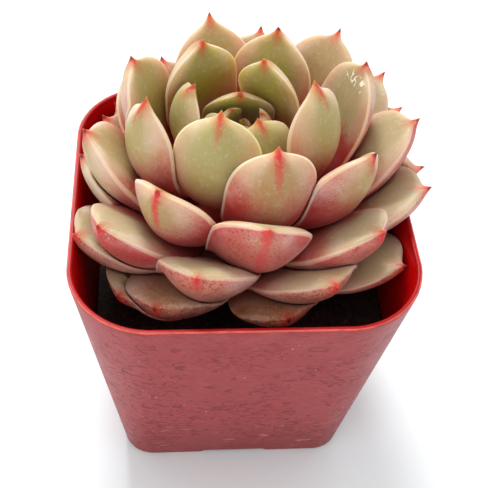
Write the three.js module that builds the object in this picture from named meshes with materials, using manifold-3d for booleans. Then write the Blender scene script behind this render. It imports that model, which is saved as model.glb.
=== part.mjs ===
// A potted echeveria: a square plastic nursery pot with rounded corners, its soil, the short
// stem and a rosette of thick keeled leaves. Millimetres, +Z up, the origin in the middle of the
// face that the pot stands on, the photographed side towards -Y.
import * as THREE from "three";
import { mergeVertices } from "three/addons/utils/BufferGeometryUtils.js";
import Module from "manifold-3d";

const wasm = await Module();
wasm.setup();

const CLEAR = 0.3; // air between pieces that touch in life

// Pot: half widths are from the middle to the flat of a side
const POT_HEIGHT = 50;
const POT_TOP_HALF = 27.5;
const POT_TOP_CORNER = 13;
const POT_BASE_HALF = 20.5;
const POT_BASE_CORNER = 5.4;
const POT_BASE_BEVEL = 0.6;
const POT_WALL = 0.9;
const POT_FLOOR = 2.2;
const CORNER_STEPS = 6;

// A shallow channel under the middle of each side, which drains the hole in it
const CHANNEL_MOUTH = 14;
const CHANNEL_ROOF = 11;
const CHANNEL_DEPTH = 1.2;
const CHANNEL_INNER_END = 8;
const DRAIN_RADIUS = 1.8;
const DRAIN_FROM_CENTRE = 13;
const DRAIN_SIDES = 16;

// Soil
const SOIL_TOP = 34.5;
const SOIL_LUMP = 0.8;
const SOIL_SHARES = [0.86, 0.7, 0.54, 0.38, 0.22];
const SOIL_SEED = 7;

// Stem, whose top carries the bud
const CROWN_X = -0.4;
const CROWN_Y = 5.2;
const STEM_FOOT = 24;
const STEM_RADIUS = 4.6;
const STEM_SHOULDER = 43;
const STEM_TOP = 56.5;
const STEM_TOP_RADIUS = 0.8;
const STEM_SIDES = 20;
const STEM_STEPS = 6;

// Leaves, by age: the youngest in the bud is 0. Each pair holds an age and a value there.
const FIRST_TURN = 45.8; // degrees from +X
const GOLDEN_TURN = 136.9; // degrees from one leaf to the next older one, clockwise from above
const FOOT_HEIGHT = [[0, 56], [4, 53.4], [10, 50], [20, 46.2], [30, 42.8], [40, 39.8], [48, 37.6]];
const TIP_REACH = [
  [0, 0.8], [2, 1.8], [4, 2.8], [7, 7.4], [10, 10.8], [14, 16], [18, 23.2], [23, 27], [28, 29.4], [38, 30.6],
  [48, 30.2],
];
const TIP_HEIGHT = [
  [0, 61.5], [4, 64.2], [7, 67], [10, 69.4], [14, 69.2], [18, 66], [23, 62], [28, 57.6], [38, 49.6],
  [48, 45.6],
];
const LEAF_WIDTH = [
  [0, 2.4], [2, 5.5], [4, 9.5], [5, 12], [9, 14], [22, 15], [30, 15.8], [38, 16.8], [48, 15],
];
const LEAF_THICKNESS = [[0, 1.1], [3, 1.7], [6, 2.8], [10, 4.4], [20, 5.2], [30, 5], [36, 4.2], [46, 3.4]];
const FOOT_SLOPE = [[0, 80], [3, 55], [6, 25], [9, 8], [16, -2], [24, -6], [34, -8], [40, -6], [48, 0]];
const TIP_SLOPE = [
  [0, 90], [4, 108], [7, 95], [12, 88], [14, 80], [17, 50], [22, 44], [27, 37], [38, 33], [48, 36],
];
const LEAF_YOUNG = 0xa9b27a;
const LEAF_OLD = 0xb58a72;

// How single leaves leave the spiral: degrees of turn, millimetres of reach, lift, width and bend
// to the left, and degrees by which the foot rises, the tip curls up and the left edge rolls up.
// Point is how far the blunt end narrows to a pointed one.
const LEANING = new Map([
  [3, { reach: 0.5 }],
  [5, { turn: 8, reach: -1, lift: -1 }],
  [6, { turn: -5, reach: -1.5, lift: -0.5, point: 0.5 }],
  [7, { turn: -2, lift: 0.5, roll: 30, width: -1, point: 1 }],
  [8, { turn: 12, reach: -2.5, lift: 2, bend: 1.5, roll: 18, width: -2, point: 0.4 }],
  [9, { turn: -7, lift: 3, roll: 14, point: 0.2 }],
  [10, { turn: 4, reach: 0.5, lift: 0.5, point: 0.6 }],
  [11, { turn: 7, reach: -1.5, lift: 2.5, roll: -35, point: 1 }],
  [12, { turn: -8, reach: 1.7, lift: 0.5, curl: -6, roll: 22, width: -1, point: 1 }],
  [13, { turn: -1, reach: 1, point: 0.6 }],
  [14, { turn: -4, reach: -0.5, lift: 1, roll: -10 }],
  [15, { turn: 4, reach: 1, curl: -10 }],
  [16, { turn: 2, reach: 1.5, lift: 1, curl: 12 }],
  [17, { turn: -4, reach: 1.5, lift: -1.5 }],
  [18, { turn: -1, point: 0.6 }],
  [19, { turn: 2, reach: -1, lift: 1.5, roll: -25, point: 0.4 }],
  [20, { lift: -1.5, point: 0.4 }],
  [21, { turn: -3, reach: 2, lift: 1 }],
  [22, { turn: 4, reach: -1, lift: 1, bend: -1, roll: -15, width: 1 }],
  [23, { turn: 2, reach: -2.5, lift: -2.5 }],
  [24, { reach: 1.5, lift: 1 }],
  [25, { turn: -2, reach: 1.5, lift: -1.5 }],
  [26, { turn: -8, reach: -2.5, lift: 2, foot: 16, curl: 6 }],
  [27, { turn: 5, reach: 0.5 }],
  [28, { turn: 8, reach: -3.5, lift: -3 }],
  [29, { turn: -3, reach: 2.5, lift: 1 }],
  [30, { turn: -4, lift: 1.5 }],
  [31, { turn: -2, reach: -4.5, lift: 2, foot: 4, curl: 6 }],
  [32, { turn: -1, reach: 2, lift: 1, foot: 6, curl: -4 }],
  [33, { turn: 2, reach: 0.5, lift: -1.5 }],
  [34, { reach: -8.5, lift: -5, foot: 6, curl: -20 }],
  [35, { turn: 2, lift: 1.5 }],
  [36, { turn: -4, reach: -5, lift: 1.5, foot: -6, curl: 10 }],
  [37, { turn: 1, reach: 1.5, lift: 4, curl: -14 }],
  [38, { turn: -1, lift: -1, roll: 12 }],
  [39, { reach: -9.5, lift: -4.5, foot: 6, curl: -20 }],
  [40, { turn: -7, reach: 2 }],
  [42, { reach: -6, lift: -4, curl: -20 }],
  [43, { turn: 10, reach: -1.5, lift: -1, bend: -3 }],
  [44, { turn: -1, reach: -3.5, lift: 3.5, foot: -6 }],
  [45, { turn: -9, reach: 1, lift: 6.5, foot: 10, curl: -14 }],
  [46, { turn: 1 }],
]);
const MISSING = new Set([41]); // shed
const OLDEST = 46;

// Along a leaf, in shares from its foot (0) to its tip (1)
const STATIONS = [0, 0.15, 0.32, 0.48, 0.62, 0.74, 0.84, 0.9, 0.935, 0.95];
const SPINE_HANDLE = 0.45; // length of the curve's handles, in chords
const NECK_END = 0.48;
const ARCH_START = 0.6; // where the broad, blunt end begins to round off
const ARCH_LENGTH = 0.36;
const ARCH_POWER = 3;
const MUCRO_START = 0.95; // the small spine that ends a leaf
const THICKEST = 0.7;
const TIP_POWER = 6;
const CUP_START = 0.1;
const CUP_END = 0.6;

// Across a leaf: from its left edge over the upper face to its right edge, and back below
const SECTION = [1, 0.5, 0, -0.5, -1, -0.84, -0.45, 0, 0.45, 0.84];
const UPPER_POINTS = 5;

// Shares of the full width and of the full thickness
const NECK_WIDTH = 0.3;
const MUCRO_WIDTH = 0.16;
const CUP_DEPTH = 0.09;
const FOOT_THICKNESS = 0.36;
const EDGE_DROP = 0.25;
const KEEL_RIDGE = 0.12;
const CUP_FILL = [[0, 0], [12, 0.2], [22, 0.8], [46, 0.9]]; // by age, how far flesh fills the hollow

function byAge(pairs, age) {
  let k = 1;
  while (k < pairs.length - 1 && pairs[k][0] < age) k++;
  const [[youngAge, young], [oldAge, old]] = [pairs[k - 1], pairs[k]];
  return young + ((old - young) * (age - youngAge)) / (oldAge - youngAge);
}

// Rings of equal length, lowest first, each counter-clockwise seen from the last one, closed by
// a fan to a point at both ends.
function skin(rings, firstPole, lastPole) {
  const count = rings[0].length;
  const points = rings.flat();
  const first = points.push(firstPole) - 1;
  const last = points.push(lastPole) - 1;
  const top = (rings.length - 1) * count;
  const faces = [];
  for (let k = 0; k < count; k++) {
    const next = (k + 1) % count;
    faces.push([first, next, k]);
    for (let start = 0; start < top; start += count) {
      const [a, b] = [start + k, start + next];
      faces.push([a, b, b + count], [a, b + count, a + count]);
    }
    faces.push([last, top + k, top + next]);
  }
  const geometry = new THREE.BufferGeometry();
  geometry.setAttribute("position", new THREE.Float32BufferAttribute(points.flat(), 3));
  geometry.setIndex(faces.flat());
  return geometry;
}

function solidOf(geometry) {
  const bare = geometry.clone();
  bare.deleteAttribute("normal");
  bare.deleteAttribute("uv");
  const merged = mergeVertices(bare, 1e-3);
  return new wasm.Manifold(
    new wasm.Mesh({
      numProp: 3,
      vertProperties: new Float32Array(merged.attributes.position.array),
      triVerts: new Uint32Array(merged.index.array),
    }),
  );
}

function geometryOf(solid) {
  const { vertProperties, triVerts, numProp } = solid.getMesh();
  const geometry = new THREE.BufferGeometry();
  const points = new Float32Array((vertProperties.length / numProp) * 3);
  points.forEach((_, k) => (points[k] = vertProperties[Math.floor(k / 3) * numProp + (k % 3)]));
  geometry.setAttribute("position", new THREE.BufferAttribute(points, 3));
  geometry.setIndex(new THREE.BufferAttribute(triVerts, 1));
  return geometry;
}

function upright(radius, bottom, top, sides) {
  const geometry = new THREE.CylinderGeometry(radius, radius, top - bottom, sides);
  return geometry.rotateX(Math.PI / 2).translate(0, 0, (top + bottom) / 2);
}

function roundedSquare(half, corner, height) {
  const ring = [];
  for (let quarter = 0; quarter < 4; quarter++) {
    const diagonal = ((quarter + 0.5) * Math.PI) / 2;
    const toCentre = (half - corner) * Math.SQRT2;
    for (let step = 0; step <= CORNER_STEPS; step++) {
      const angle = ((quarter + step / CORNER_STEPS) * Math.PI) / 2;
      const x = toCentre * Math.cos(diagonal) + corner * Math.cos(angle);
      const y = toCentre * Math.sin(diagonal) + corner * Math.sin(angle);
      ring.push([x, y, height]);
    }
  }
  return ring;
}

// The pot's side at a height, moved inwards by an inset.
function potRing(height, inset, at = height) {
  const share = height / POT_HEIGHT;
  const half = THREE.MathUtils.lerp(POT_BASE_HALF, POT_TOP_HALF, share);
  const corner = THREE.MathUtils.lerp(POT_BASE_CORNER, POT_TOP_CORNER, share);
  return roundedSquare(half - inset, corner - inset, at);
}

// The pot without its channels and drains, grown on all sides.
function potShell(grown) {
  const top = POT_HEIGHT + grown;
  const outside = skin(
    [potRing(0, POT_BASE_BEVEL - grown), potRing(POT_BASE_BEVEL, -grown), potRing(POT_HEIGHT, -grown, top)],
    [0, 0, 0],
    [0, 0, top],
  );
  const open = top + 1;
  const inset = POT_WALL + grown;
  const inside = skin(
    [potRing(POT_FLOOR, inset), potRing(POT_HEIGHT, inset), potRing(POT_HEIGHT, inset, open)],
    [0, 0, POT_FLOOR],
    [0, 0, open],
  );
  return solidOf(outside).subtract(solidOf(inside));
}

function potGeometry() {
  const [mouth, roof] = [CHANNEL_MOUTH / 2, CHANNEL_ROOF / 2];
  const across = new THREE.Shape([
    new THREE.Vector2(-mouth - CHANNEL_DEPTH, -CHANNEL_DEPTH),
    new THREE.Vector2(mouth + CHANNEL_DEPTH, -CHANNEL_DEPTH),
    new THREE.Vector2(roof, CHANNEL_DEPTH),
    new THREE.Vector2(-roof, CHANNEL_DEPTH),
  ]);
  const channel = new THREE.ExtrudeGeometry(across, { depth: POT_BASE_HALF, bevelEnabled: false })
    .rotateX(Math.PI / 2)
    .translate(0, -CHANNEL_INNER_END, 0);
  const drain = upright(DRAIN_RADIUS, -1, POT_FLOOR + 1, DRAIN_SIDES).translate(0, -DRAIN_FROM_CENTRE, 0);
  let pot = potShell(0);
  for (let side = 0; side < 4; side++) {
    for (const cut of [channel, drain]) {
      pot = pot.subtract(solidOf(cut.clone().rotateZ((side * Math.PI) / 2)));
    }
  }
  return geometryOf(pot);
}

// Numbers from 0 to 1, the same at every build.
function seeded(seed) {
  let state = seed;
  return () => {
    state = (state * 16807) % 2147483647;
    return state / 2147483647;
  };
}

function soilGeometry() {
  const random = seeded(SOIL_SEED);
  const inset = POT_WALL + CLEAR;
  const bottom = POT_FLOOR + CLEAR;
  const edge = potRing(SOIL_TOP, inset, SOIL_TOP - SOIL_LUMP);
  const lumpy = (share) =>
    edge.map(([x, y]) => [x * share, y * share, SOIL_TOP + SOIL_LUMP * (random() - 0.5)]);
  const rings = [potRing(bottom, inset), edge, ...SOIL_SHARES.map(lumpy)];
  const heap = skin(rings, [0, 0, bottom], [0, 0, SOIL_TOP]);
  const hole = upright(STEM_RADIUS + CLEAR, STEM_FOOT - CLEAR, SOIL_TOP + SOIL_LUMP, STEM_SIDES);
  return geometryOf(solidOf(heap).subtract(solidOf(hole.translate(CROWN_X, CROWN_Y, 0))));
}

function stemRadiusAt(height) {
  const share = THREE.MathUtils.clamp((height - STEM_SHOULDER) / (STEM_TOP - STEM_SHOULDER), 0, 1);
  return STEM_RADIUS + (STEM_TOP_RADIUS - STEM_RADIUS) * share * share;
}

function stemGeometry() {
  const profile = [new THREE.Vector2(0, STEM_FOOT), new THREE.Vector2(STEM_RADIUS, STEM_FOOT)];
  for (let step = 0; step <= STEM_STEPS; step++) {
    const height = THREE.MathUtils.lerp(STEM_SHOULDER, STEM_TOP, step / STEM_STEPS);
    profile.push(new THREE.Vector2(stemRadiusAt(height), height));
  }
  profile.push(new THREE.Vector2(0, STEM_TOP));
  const lathe = new THREE.LatheGeometry(profile, STEM_SIDES).rotateX(Math.PI / 2);
  return geometryOf(solidOf(lathe.translate(CROWN_X, CROWN_Y, 0)));
}

function leafShape(age) {
  const upright = { turn: 0, reach: 0, lift: 0, bend: 0, foot: 0, curl: 0, roll: 0, width: 0, point: 0 };
  const lean = { ...upright, ...LEANING.get(age) };
  const radians = THREE.MathUtils.degToRad;
  const footHeight = byAge(FOOT_HEIGHT, age);
  const foot = new THREE.Vector2(stemRadiusAt(footHeight) + CLEAR, footHeight);
  const tip = new THREE.Vector2(byAge(TIP_REACH, age) + lean.reach, byAge(TIP_HEIGHT, age) + lean.lift);
  const footSlope = radians(byAge(FOOT_SLOPE, age) + lean.foot);
  const tipSlope = radians(byAge(TIP_SLOPE, age) + lean.curl);
  const handle = SPINE_HANDLE * tip.distanceTo(foot);
  const outward = new THREE.Vector2(Math.cos(footSlope), Math.sin(footSlope)).multiplyScalar(handle);
  const upward = new THREE.Vector2(Math.cos(tipSlope), Math.sin(tipSlope)).multiplyScalar(handle);
  return {
    turn: radians(FIRST_TURN - GOLDEN_TURN * age + lean.turn),
    spine: new THREE.CubicBezierCurve(foot, foot.clone().add(outward), tip.clone().sub(upward), tip),
    bend: lean.bend,
    roll: radians(lean.roll),
    width: byAge(LEAF_WIDTH, age) + lean.width,
    thickness: byAge(LEAF_THICKNESS, age),
    fill: byAge(CUP_FILL, age),
    point: lean.point,
  };
}

// Share of the full width: a narrow neck, the widest place past the middle, an arch that ends
// in the mucro, blunt at point 0 and pointed at point 1.
function widthShare(u, point) {
  if (u >= MUCRO_START) return (MUCRO_WIDTH * (1 - u)) / (1 - MUCRO_START);
  const neck = NECK_WIDTH + (1 - NECK_WIDTH) * THREE.MathUtils.smoothstep(u, 0, NECK_END);
  const down = Math.max(0, (u - ARCH_START) / ARCH_LENGTH);
  return neck * (1 - down ** ARCH_POWER) ** ((1 + point) / 2);
}

function thicknessShare(u) {
  const body = FOOT_THICKNESS + (1 - FOOT_THICKNESS) * THREE.MathUtils.smoothstep(u, 0, THICKEST);
  return body * (1 - u ** TIP_POWER) ** 0.8;
}

// A leaf around its spine curve, grown on all sides.
function leafGeometry({ turn, spine, bend, roll, width, thickness, fill, point }, grown) {
  const out = new THREE.Vector3(Math.cos(turn), Math.sin(turn), 0);
  const left = new THREE.Vector3(-Math.sin(turn), Math.cos(turn), 0);
  const crown = new THREE.Vector3(CROWN_X, CROWN_Y, 0);
  const place = (u, x, y) => {
    const at = spine.getPoint(u);
    const along = spine.getTangent(u);
    const [cos, sin] = [Math.cos(roll * u), Math.sin(roll * u)];
    const [aside, above] = [x * cos - y * sin, x * sin + y * cos];
    return crown
      .clone()
      .addScaledVector(out, at.x - along.y * above)
      .addScaledVector(left, aside + bend * u * u)
      .add(new THREE.Vector3(0, 0, at.y + along.x * above))
      .toArray();
  };
  const rings = STATIONS.map((u) => {
    const half = (width / 2) * widthShare(u, point);
    const deep = thickness * thicknessShare(u);
    const cup = 2 * CUP_DEPTH * half * THREE.MathUtils.smoothstep(u, CUP_START, CUP_END);
    return SECTION.map((x, k) => {
      const edge = Math.abs(x) === 1;
      const hollow = cup * x * x - (edge ? EDGE_DROP * deep : 0);
      const flesh = cup * fill * (1 - x * x);
      const keel = deep * ((1 - Math.abs(x) ** 2.2) ** 0.65 + KEEL_RIDGE * (1 - Math.abs(x)));
      const above = k < UPPER_POINTS ? hollow + flesh + (edge ? 0 : grown) : hollow - keel - grown;
      return place(u, (half + grown) * x, above);
    });
  });
  return skin(rings, place(0, 0, (-thickness * FOOT_THICKNESS) / 2), place(1, 0, 0));
}

// The leaves, young to old. A leaf gives way to the pot and to the younger leaves that lie on it.
function leafSolids() {
  const leaves = new Map();
  const pressing = [potShell(CLEAR), solidOf(stemGeometry())];
  for (let age = 0; age <= OLDEST; age++) {
    if (MISSING.has(age)) continue;
    const shape = leafShape(age);
    let leaf = solidOf(leafGeometry(shape, 0));
    for (const other of pressing) leaf = leaf.subtract(other);
    leaves.set(age, leaf.decompose().reduce((a, b) => (a.volume() > b.volume() ? a : b)));
    pressing.push(solidOf(leafGeometry(shape, CLEAR)));
  }
  return leaves;
}

function addPiece(group, name, geometry, color, roughness) {
  const mesh = new THREE.Mesh(geometry, new THREE.MeshStandardMaterial({ color, roughness, metalness: 0 }));
  mesh.name = name;
  group.add(mesh);
}

const part = new THREE.Group();
addPiece(part, "pot", potGeometry(), 0xb5504c, 0.45);
addPiece(part, "soil", soilGeometry(), 0x1c1512, 0.95);
addPiece(part, "stem", stemGeometry(), 0x8a7a4e, 0.7);
for (const [age, leaf] of leafSolids()) {
  const color = new THREE.Color(LEAF_YOUNG).lerp(new THREE.Color(LEAF_OLD), age / OLDEST);
  addPiece(part, "leaf_" + String(age).padStart(2, "0"), geometryOf(leaf), color, 0.6);
}

export default part;
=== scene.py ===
# A potted echeveria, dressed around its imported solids: a square plastic nursery pot, the potting
# soil, a short stem and a rosette of thick leaves with spined tips. Metres, +Z up, the
# photographed side towards -Y.
import math
import random
from types import SimpleNamespace

import bmesh
import bpy
from bpy.props import FloatProperty, FloatVectorProperty, IntProperty, PointerProperty
from mathutils import Matrix, Vector, noise
from mathutils.bvhtree import BVHTree


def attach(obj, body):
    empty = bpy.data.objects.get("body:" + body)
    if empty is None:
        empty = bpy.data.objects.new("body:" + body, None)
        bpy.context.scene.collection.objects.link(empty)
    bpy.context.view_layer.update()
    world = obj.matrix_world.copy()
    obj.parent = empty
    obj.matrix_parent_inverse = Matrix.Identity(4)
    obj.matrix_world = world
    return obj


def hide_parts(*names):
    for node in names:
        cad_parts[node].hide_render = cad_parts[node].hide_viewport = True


bl_info = {
    "name": "Potted echeveria",
    "version": (1, 0, 0),
    "blender": (4, 5, 0),
    "location": "3D View > Sidebar > Echeveria",
    "description": "Models a potted echeveria around its solids, piece by piece",
    "category": "Add Mesh",
}

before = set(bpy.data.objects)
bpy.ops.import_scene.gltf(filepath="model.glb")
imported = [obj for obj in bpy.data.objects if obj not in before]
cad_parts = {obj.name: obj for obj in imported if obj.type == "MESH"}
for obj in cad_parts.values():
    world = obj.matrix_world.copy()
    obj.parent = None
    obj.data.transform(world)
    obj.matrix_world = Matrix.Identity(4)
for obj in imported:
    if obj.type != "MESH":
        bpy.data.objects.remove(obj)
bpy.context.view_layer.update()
MM = 0.001


def srgb(red, green, blue):
    """A colour as a screen shows it, 0 to 255, as the linear one that shaders use."""
    shares = [level / 255 for level in (red, green, blue)]
    return tuple(s / 12.92 if s <= 0.04045 else ((s + 0.055) / 1.055) ** 2.4 for s in shares)


def colour(name, description, *shown):
    return FloatVectorProperty(
        name=name, description=description, subtype="COLOR", min=0, max=1, default=srgb(*shown)
    )


def length(name, description, millimetres):
    return FloatProperty(name=name, description=description, default=millimetres * MM, unit="LENGTH")


def power(name, description, watts):
    return FloatProperty(name=name, description=description, default=watts, unit="POWER")


# Pot, soil and stem, in millimetres
POT_FLOOR = 2.2
POT_BASE_BEVEL = 0.6
LIP_ROUNDING, BASE_ROUNDING, SHARP_TURN = 0.32, 0.25, 0.5  # radians from which an edge is sharp
LIP_BAND = 0.35  # how far down the rounded lip reaches
BRIDGE_APART = 1  # rings at one height would be bridged with a twist, so one is moved later
CHANNEL_MOUTH, CHANNEL_ROOF, CHANNEL_DEPTH = 14, 11, 1.2
CHANNEL_INNER_END, CHANNEL_LENGTH = 8, 25
DRAIN_RADIUS, DRAIN_FROM_CENTRE = 1.8, 13
OUTSIDE, INSIDE, LIP = range(3)  # order of the pot's plastics
SOIL_TOP = 34.5
SOIL_GAP = 0.35  # to the pot's wall
WALL_SAG, STEM_SAG = 0.6, 0.3  # how much lower the soil lies there
LUMP_HIGH, LUMP_DEEP, LUMPS_FROM_STEM = 0.5, 0.9, 6
CRUMB_REACH, SMALLEST_CRUMB, LARGEST_CRUMB = 22, 0.25, 0.8
CROWN_X, CROWN_Y = CROWN = (-0.4, 5.2)
STEM_FOOT, STEM_SHOULDER, STEM_TOP = 24, 43, 56.5
STEM_RADIUS, STEM_TOP_RADIUS = 4.6, 0.8
HOLE_HALF, HOLE_CORNER, HOLE_BELOW_STEM = STEM_RADIUS + 0.35, STEM_RADIUS + 0.3, 0.3

# Leaves, by age: the youngest in the bud is 0. Tables hold ages and the values there.
FIRST_TURN = 45.8
GOLDEN_TURN = 136.9
FOOT_HEIGHT = {0: 56, 4: 53.4, 10: 50, 20: 46.2, 30: 42.8, 40: 39.8, 48: 37.6}
TIP_REACH = {
    0: 0.8, 2: 1.8, 4: 2.8, 7: 7.4, 10: 10.8, 14: 16, 18: 23.2, 23: 27, 28: 29.4,
    38: 30.6, 48: 30.2,
}
TIP_HEIGHT = {
    0: 61.5, 4: 64.2, 7: 67, 10: 69.4, 14: 69.2, 18: 66, 23: 62, 28: 57.6,
    38: 49.6, 48: 45.6,
}
LEAF_WIDTH = {
    0: 2.4, 2: 5.5, 4: 9.5, 5: 12, 9: 14, 22: 15, 30: 15.8, 38: 16.8, 48: 15,
}
LEAF_THICKNESS = {0: 1.1, 3: 1.7, 6: 2.8, 10: 4.4, 20: 5.2, 30: 5, 36: 4.2, 46: 3.4}
FOOT_SLOPE = {
    0: 80, 3: 55, 6: 25, 9: 8, 16: -2, 24: -6, 34: -8, 40: -6, 48: 0,
}
TIP_SLOPE = {
    0: 90, 4: 108, 7: 95, 12: 88, 14: 80, 17: 50, 22: 44, 27: 37, 38: 33, 48: 36,
}

# How single leaves lie apart from the rule: degrees of turn, millimetres of reach, lift, width and
# bend to the left, and degrees by which the foot rises, the tip curls up and the left edge rolls
# up. Point is how far the blunt end narrows to a pointed one.
UPRIGHT = dict(turn=0, reach=0, lift=0, bend=0, foot=0, curl=0, roll=0, width=0, point=0)
LEANING = {
    3: dict(reach=0.5),
    5: dict(turn=8, reach=-1, lift=-1),
    6: dict(turn=-5, reach=-1.5, lift=-0.5, point=0.5),
    7: dict(turn=-2, lift=0.5, roll=30, width=-1, point=1),
    8: dict(turn=12, reach=-2.5, lift=2, bend=1.5, roll=18, width=-2, point=0.4),
    9: dict(turn=-7, lift=3, roll=14, point=0.2),
    10: dict(turn=4, reach=0.5, lift=0.5, point=0.6),
    11: dict(turn=7, reach=-1.5, lift=2.5, roll=-35, point=1),
    12: dict(turn=-8, reach=1.7, lift=0.5, curl=-6, roll=22, width=-1, point=1),
    13: dict(turn=-1, reach=1, point=0.6),
    14: dict(turn=-4, reach=-0.5, lift=1, roll=-10),
    15: dict(turn=4, reach=1, curl=-10),
    16: dict(turn=2, reach=1.5, lift=1, curl=12),
    17: dict(turn=-4, reach=1.5, lift=-1.5),
    18: dict(turn=-1, point=0.6),
    19: dict(turn=2, reach=-1, lift=1.5, roll=-25, point=0.4),
    20: dict(lift=-1.5, point=0.4),
    21: dict(turn=-3, reach=2, lift=1),
    22: dict(turn=4, reach=-1, lift=1, bend=-1, roll=-15, width=1),
    23: dict(turn=2, reach=-2.5, lift=-2.5),
    24: dict(reach=1.5, lift=1),
    25: dict(turn=-2, reach=1.5, lift=-1.5),
    26: dict(turn=-8, reach=-2.5, lift=2, foot=16, curl=6),
    27: dict(turn=5, reach=0.5),
    28: dict(turn=8, reach=-3.5, lift=-3),
    29: dict(turn=-3, reach=2.5, lift=1),
    30: dict(turn=-4, lift=1.5),
    31: dict(turn=-2, reach=-4.5, lift=2, foot=4, curl=6),
    32: dict(turn=-1, reach=2, lift=1, foot=6, curl=-4),
    33: dict(turn=2, reach=0.5, lift=-1.5),
    34: dict(reach=-8.5, lift=-5, foot=6, curl=-20),
    35: dict(turn=2, lift=1.5),
    36: dict(turn=-4, reach=-5, lift=1.5, foot=-6, curl=10),
    37: dict(turn=1, reach=1.5, lift=4, curl=-14),
    38: dict(turn=-1, lift=-1, roll=12),
    39: dict(reach=-9.5, lift=-4.5, foot=6, curl=-20),
    40: dict(turn=-7, reach=2),
    42: dict(reach=-6, lift=-4, curl=-20),
    43: dict(turn=10, reach=-1.5, lift=-1, bend=-3),
    44: dict(turn=-1, reach=-3.5, lift=3.5, foot=-6),
    45: dict(turn=-9, reach=1, lift=6.5, foot=10, curl=-14),
    46: dict(turn=1),
}
LEAF_AGES = [age for age in range(47) if age != 41]

# Along a leaf, in shares from its foot (0) to its tip (1), and shares of its width and thickness
SPINE_HANDLE = 0.45
NECK_END, NECK_WIDTH = 0.48, 0.3
ARCH_START, ARCH_LENGTH, ARCH_POWER = 0.6, 0.35, 3
MUCRO_LENGTH, MUCRO_WIDTH, MUCRO_POWER = 0.07, 0.2, 1.25
FOOT_THICKNESS, THICKEST, TIP_POWER = 0.36, 0.7, 6
CUP_START, CUP_END, CUP_DEPTH = 0.1, 0.6, 0.09
EDGE_DROP, KEEL_RIDGE = 0.25, 0.12
CUP_FILL = {0: 0, 12: 0.2, 22: 0.8, 46: 0.9}
LEAF_AROUND, LEAF_RINGS = 32, 42
TIP_CROWDING = 1.5  # rings lie closer towards the tip

# Where leaves meet other pieces, in millimetres
STEM_GAP = 0.3
CLEAR = 0.25  # air between leaves that lie on each other
THINNEST = 0.5  # where a leaf is pressed flat
RAY_REACH = 7  # how far off the skin a search for neighbours starts
RIM_OVER = 3  # how far above a leaf's top the rim still lifts it
RIM_BLOCK_FOOT, RIM_BLOCK_HALF, RIM_BLOCK_CORNER = 30, 45, 20

# What every point of a leaf holds: its shares along and across, 1 outside and 0 in the hollow, and
# how many millimetres it lies from the midrib and below the tip
LEAF_VALUES = ("along", "across", "outer", "aside", "below")

# How leaves are coloured, by age. Olive, wax, honey and shade are those of the hollow face, cream
# that of the edges. Honey is a painted warm shade and glow low in the hollow. Shade is a darker
# green low in the bud's hollows, partly the leaves' own and partly painted shade. The outer blush
# reaches up to blush_top, the hollow's crimson up to foot; crimson at the foot is the leaves' own
# red, made stronger as a painted glow in the shaded gaps. Edge is the pale edge, partly a painted
# highlight. Streak and tip are the red's lengths and streak_width half its width, in millimetres.
# Dry is the tip's point, rust old skin, glow how far green light spreads. The pale specks by the
# tip are painted glints.
LOOK_BY_AGE = dict(
    olive={0: 1, 10: 1, 13: 0.8, 18: 0.5, 24: 0.3, 46: 0.2},
    wax={0: 0, 18: 0.1, 26: 0.8, 46: 0.8},
    honey_shade={0: 0, 6: 0, 8: 0.6, 13: 0.6, 18: 0.3, 46: 0},
    cream={0: 0.3, 8: 0.6, 12: 1, 46: 1},
    tan={0: 0, 8: 0.1, 14: 0.4, 18: 0.7, 30: 0.45, 40: 0.45, 46: 0.7},
    blush_top={
        0: 0.4, 6: 0.45, 9: 0.5, 12: 0.62, 14: 0.7, 17: 0.74, 19: 0.85, 22: 0.96,
    },
    blush={0: 0.4, 8: 0.6, 12: 0.9, 24: 1, 30: 0.75, 38: 0.6, 46: 0.55},
    crimson={0: 1, 24: 1, 27: 0.35, 46: 0.25},
    foot={0: 0.4, 13: 0.52, 17: 0.7, 30: 0.76, 46: 0.76},
    edge={0: 0.5, 14: 0.8, 22: 0.65, 25: 0.5, 46: 0.35},
    shade={0: 0.5, 4: 0.6, 5: 0.75, 6: 0.8, 7: 0.4, 9: 0.25, 12: 0},
    freckles={0: 0, 8: 0.2, 12: 0.6, 16: 1, 30: 1.4, 46: 1.6},
    streak={0: 1, 9: 3, 14: 4, 22: 2.5, 46: 2},
    streak_width={0: 0.3, 14: 0.5, 46: 0.6},
    streak_red={0: 0.4, 46: 0.5},
    tip={0: 0.6, 4: 0.9, 6: 1.5, 10: 1.8, 46: 1.7},
    dry={0: 0.6, 4: 0.5, 6: 0.2, 12: 0.2, 13: 0.9, 46: 1},
    rust={0: 0, 30: 0, 37: 0.25, 43: 1, 46: 0.3},
    frost={0: 0, 24: 0, 25: 0.8, 46: 0.8},
    scratch={0: 0, 46: 0},
    glow={0: 1.3, 10: 1.2, 14: 0.8, 20: 0.6, 46: 0.5},
)

# What single leaves have instead
LOOKS = {
    9: dict(streak=4.5, streak_width=0.5, streak_red=0.35),
    11: dict(streak=4),
    14: dict(streak=6, streak_width=0.8, dry=0, streak_red=0.6, tan=1),
    16: dict(wax=0.5, olive=0.3, honey_shade=0, scratch=0.9),
    17: dict(streak=9, streak_width=0.7, dry=0.5, streak_red=0.8),
    19: dict(blush_top=0.74),
    20: dict(blush_top=0.58, freckles=0.6),
    21: dict(tan=1, olive=0.2, dry=1),
    22: dict(streak=16, streak_width=1.1, dry=0.1, tan=0.3, streak_red=0.65, tip=0.8, crimson=0.45),
    25: dict(dry=0.5, tip=1.3),
    27: dict(dry=0.15),
    28: dict(blush_top=0.6, freckles=0.6),
    30: dict(dry=0, tip=1.3),
    33: dict(dry=0.4),
    35: dict(dry=0, tip=1.9),
    38: dict(dry=0.7, tip=1.2, rust=0.8),
    40: dict(rust=0.1),
    46: dict(rust=0.12, wax=1.1, dry=0.6),
}

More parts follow.
